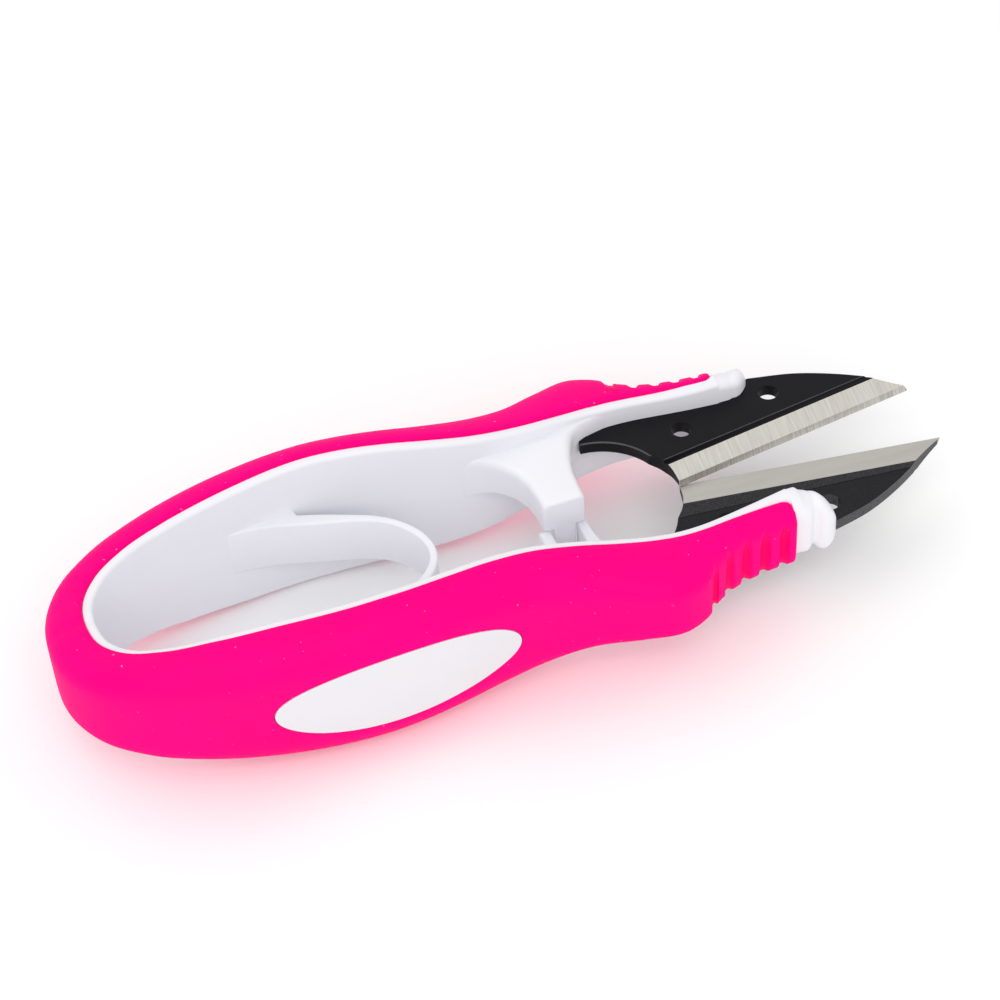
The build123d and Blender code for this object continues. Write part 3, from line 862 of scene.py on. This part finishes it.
def blade_blank():
    """The stamped blade with its two holes, flat on both faces."""
    form = bmesh.new()
    outline = blade_outline()
    loops = [bmesh.ops.create_circle(form, segments=len(outline), radius=1.0)["verts"]]
    for vert, place in zip(loops[0], outline):
        vert.co = (place.x, place.y, 0)
    for x, y in HOLES:
        verts = bmesh.ops.create_circle(form, segments=HOLE_STEPS, radius=HOLE_RADIUS)["verts"]
        bmesh.ops.translate(form, vec=(x, y, 0), verts=verts)
        loops.append(verts)
    bounds = [
        form.edges.get((a, b)) for verts in loops for a, b in zip(verts, verts[1:] + verts[:1])
    ]
    bmesh.ops.triangle_fill(form, use_beauty=True, edges=bounds)
    bmesh.ops.recalc_face_normals(form, faces=form.faces)
    grown = bmesh.ops.extrude_face_region(form, geom=form.faces[:])["geom"]
    raised = [item for item in grown if isinstance(item, bmesh.types.BMVert)]
    bmesh.ops.translate(form, vec=(0, 0, BLADE_THICKNESS), verts=raised)
    bmesh.ops.recalc_face_normals(form, faces=form.faces)
    return form


def on_tail_rim(vert):
    """Whether a point is on the outer face's edge along the opening, behind the bevel."""
    away = (vert.co.xy - OPENING_CENTER).length - OPENING_RADIUS
    behind = from_edge(vert.co)[0] > TAIL_EDGE_START
    return vert.co.z > HALFWAY and abs(away) < 0.01 and behind


def blade_height(vert):
    """How high a point of the blank ends up after the grinding."""
    width, along = from_edge(vert.co)
    if vert.co.z <= HALFWAY:
        slope = hollow_start(along) - LAND
        return HOLLOW * min(1.0, max(0.0, (width - LAND) / slope))
    if width <= EDGE_STRIP + SLACK:
        return EDGE_FACE + (EDGE_RISE - EDGE_FACE) * max(width, 0.0) / EDGE_STRIP
    if width <= BEVEL + SLACK:
        share = (width - EDGE_STRIP) / (BEVEL - EDGE_STRIP)
        return EDGE_RISE + (BLADE_THICKNESS - BEVEL_DROP - EDGE_RISE) * share
    if width < GROOVE_END - SLACK:
        return BLADE_THICKNESS - GROOVE_DROP - GROOVE_HEEL_DROP * (1 - along / edge_length)
    return vert.co.z


def blade_form():
    """The far blade, in place, with its inner face on the middle plane."""
    form = blade_blank()
    tail_rim = [edge for edge in form.edges if all(on_tail_rim(vert) for vert in edge.verts)]
    bmesh.ops.bevel(
        form,
        geom=tail_rim,
        offset=TAIL_EDGE,
        offset_type="OFFSET",
        affect="EDGES",
        segments=1,
        profile=0.5,
        material=-1,
    )
    widths = (
        EDGE_STRIP, BEVEL, GROOVE_START, GROOVE_MIDDLE, LAND, GROOVE_END, GROOVE_END + GROOVE_HIGHLIGHT_LINE,
    )
    cuts = [(HEEL + edge_in * width, edge_in) for width in widths]
    cuts += [(slope_heel + slope_in * past, slope_in) for past in (0.0, RIDGE_LINE)]
    for place, normal in cuts:
        bmesh.ops.bisect_plane(
            form,
            geom=form.verts[:] + form.edges[:] + form.faces[:],
            dist=1e-5,
            plane_co=(place.x, place.y, 0),
            plane_no=(normal.x, normal.y, 0),
        )
    for vert in form.verts:
        vert.co.z = blade_height(vert)
    form.normal_update()
    # ground: 1 on the bevel, 1.25 on its steep strip, 2 on the land, 0 under the coating
    ground = form.faces.layers.float.new("ground")
    # how much lighter the coat is: real tone behind the land, painted highlights and a painted
    # reflection on edges
    tone_and_sheen = form.faces.layers.float.new("tone_and_sheen")
    for face in form.faces:
        middle = face.calc_center_median()
        width = from_edge(middle)[0]
        past_slope = (middle.xy - slope_heel).dot(slope_in)
        facing = face.normal.z
        if facing > FACING and width < BEVEL:
            face[ground] = 1.0 if width > EDGE_STRIP else 1.25
        elif facing < -FACING and width < LAND:
            face[ground] = 2.0
        elif width < EDGE_STRIP:
            face[ground] = 1.25
        # The chamfer round the opening is painted light: a painted highlight along that edge.
        elif FACING < facing < SLOPING and width > GROOVE_END:
            face[tone_and_sheen] = 1.2
        # A thin line behind the groove is painted light: a painted highlight.
        elif facing > FACING:
            face[tone_and_sheen] = 0.8 if 0 < width - GROOVE_END < GROOVE_HIGHLIGHT_LINE else 0.0
        elif facing < -FACING and past_slope < 0:
            face[tone_and_sheen] = 0.33
        elif facing < -FACING:
            face[tone_and_sheen] = 0.0 if 0 < past_slope < RIDGE_LINE else 0.1
        # The spine's side is painted lighter: a painted reflection of the bright table.
        elif face.normal.y > FACING and middle.x > SPINE_SHEEN_START:
            face[tone_and_sheen] = 0.8
    bmesh.ops.translate(form, vec=(0, 0, BLADE_GAP), verts=form.verts)
    return form


steel = Finish("black_steel", Specular_IOR_Level=0.16)
edge_turn = (0.0, 0.0, -math.atan2(edge_way.y, edge_way.x))
steel_place = steel.place()
how_ground = steel.attribute("ground")
any_ground = how_ground > 0.5
polished = how_ground > 1.5
cutting_strip = (how_ground > 1.1) * (1 - polished)
along_grain = steel.noise(steel.place((4.5, 0.10, 0.10), edge_turn), 1.0, 2.0, 0.6)
fine_grain = steel.noise(steel.place((12.0, 0.3, 0.3), edge_turn), 1.0, 2.0)
wheel_marks = steel.spread(0.8 * along_grain + 0.8 * fine_grain, 0.55, 1.05)
bevel_colour = steel.mix(wheel_marks, (0.65, 0.62, 0.555, 1.0), (0.85, 0.82, 0.77, 1.0))
strip_colour = steel.mix(
    steel.spread(fine_grain, 0.4, 0.6), (0.42, 0.40, 0.37, 1.0), (0.62, 0.595, 0.55, 1.0)
)
ground_colour = steel.mix(cutting_strip, bevel_colour, strip_colour)
land_colour = steel.mix(
    steel.noise(steel.place((0.1, 1.2, 1.2), edge_turn), 1.0, 2.0),
    (0.545, 0.522, 0.49, 1.0),
    (0.63, 0.605, 0.565, 1.0),
)
coat_cloud = steel.noise(steel_place, 0.5, 4.0, 0.6)
even_coat = steel.mix(coat_cloud, (0.002, 0.002, 0.003, 1.0), (0.006, 0.006, 0.009, 1.0))
patchy = steel.spread(steel.noise(steel_place, 3.5, 3.0, 0.6), 0.35, 0.65, 0.6, 1.4)
# The coat is painted lighter by that attribute: real tone on the inner face, painted highlights
# and a painted reflection elsewhere.
coat = steel.mix(steel.attribute("tone_and_sheen") * patchy, even_coat, (0.085, 0.085, 0.09, 1.0))
bare = steel.mix(polished, ground_colour, land_colour)
steel.set("Base Color", steel.mix(any_ground, coat, bare))
steel.set("Metallic", any_ground * 0.9)
steel.set("Roughness", steel.spread(coat_cloud, 0.3, 0.7, 0.36, 0.48) - 0.06 * any_ground)
wheel_grain = (1 - polished) * any_ground * along_grain
steel.bump(wheel_grain + 0.15 * steel.noise(steel_place, 6.0, 3.0), 0.35, 0.03)

for arm, turned in (("far", 0.0), ("near", math.pi)):
    form = blade_form()
    form.transform(Matrix.Rotation(turned, 4, "X"))
    blade = piece(form, arm + "_cutter", steel, SHARP_STEEL)
    edge_break = blade.modifiers.new("edge_break", "BEVEL")
    edge_break.width = EDGE_BREAK * MM
    edge_break.segments = 2
    edge_break.limit_method = "ANGLE"
    edge_break.angle_limit = math.radians(50)
    edge_break.harden_normals = False
    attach(blade, arm + "_arm")
    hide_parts(arm + "_blade")
